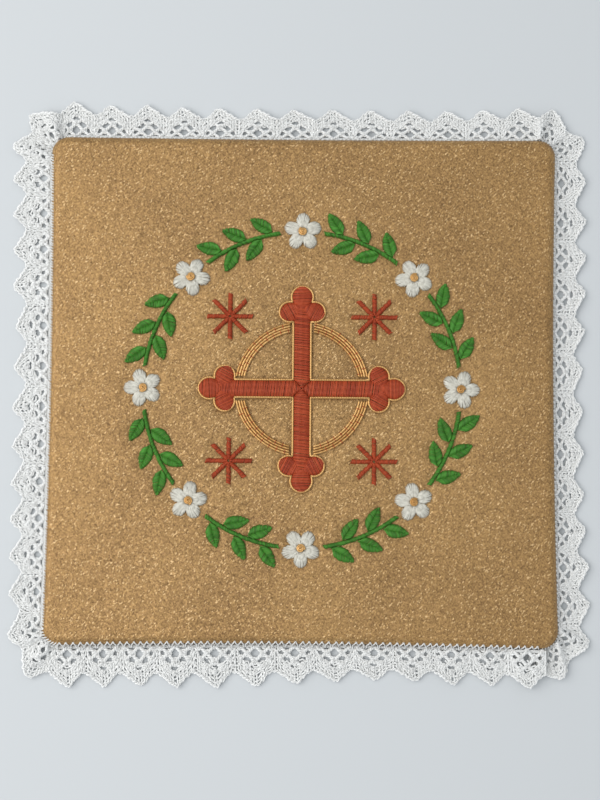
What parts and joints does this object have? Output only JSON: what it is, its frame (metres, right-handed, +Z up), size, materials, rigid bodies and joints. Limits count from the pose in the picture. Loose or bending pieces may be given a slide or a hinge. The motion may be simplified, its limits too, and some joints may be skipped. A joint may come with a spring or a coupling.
{
  "type": "chalice pall",
  "caption": "Stiff square chalice cover in gold cloth, embroidered with a cross in a flower wreath and edged all round with scalloped white lace.",
  "frame": {"origin": "centre of the pad's flat underside", "axes": "+Z up through the pad's thickness, +X to the right and +Y to the far side of its face"},
  "size_m": [0.1713, 0.1731, 0.0067],
  "materials": {
    "gold_cloth": "woven metallic cloth with a fine sparkle",
    "white_lace": "matt cotton lace",
    "red_thread": "satin stitch, silky sheen",
    "gold_thread": "metallic thread",
    "white_thread": "satin stitch, silky sheen",
    "green_thread": "satin stitch, silky sheen"
  },
  "bodies": {
    "root": {"pad": "gold_cloth", "lace": "white_lace", "cross": "red_thread", "nimbus_1": "gold_thread", "nimbus_2": "gold_thread", "nimbus_3": "gold_thread", "nimbus_4": "gold_thread", "star_1": "red_thread", "star_2": "red_thread", "star_3": "red_thread", "star_4": "red_thread", "spray_1": "green_thread", "spray_2": "green_thread", "spray_3": "green_thread", "spray_4": "green_thread", "spray_5": "green_thread", "spray_6": "green_thread", "spray_7": "green_thread", "spray_8": "green_thread", "flower_1": "white_thread", "flower_2": "white_thread", "flower_3": "white_thread", "flower_4": "white_thread", "flower_5": "white_thread", "flower_6": "white_thread", "flower_7": "white_thread", "flower_8": "white_thread", "flower_eye_1": "gold_thread", "flower_eye_2": "gold_thread", "flower_eye_3": "gold_thread", "flower_eye_4": "gold_thread", "flower_eye_5": "gold_thread", "flower_eye_6": "gold_thread", "flower_eye_7": "gold_thread", "flower_eye_8": "gold_thread"}
  },
  "joints": []
}
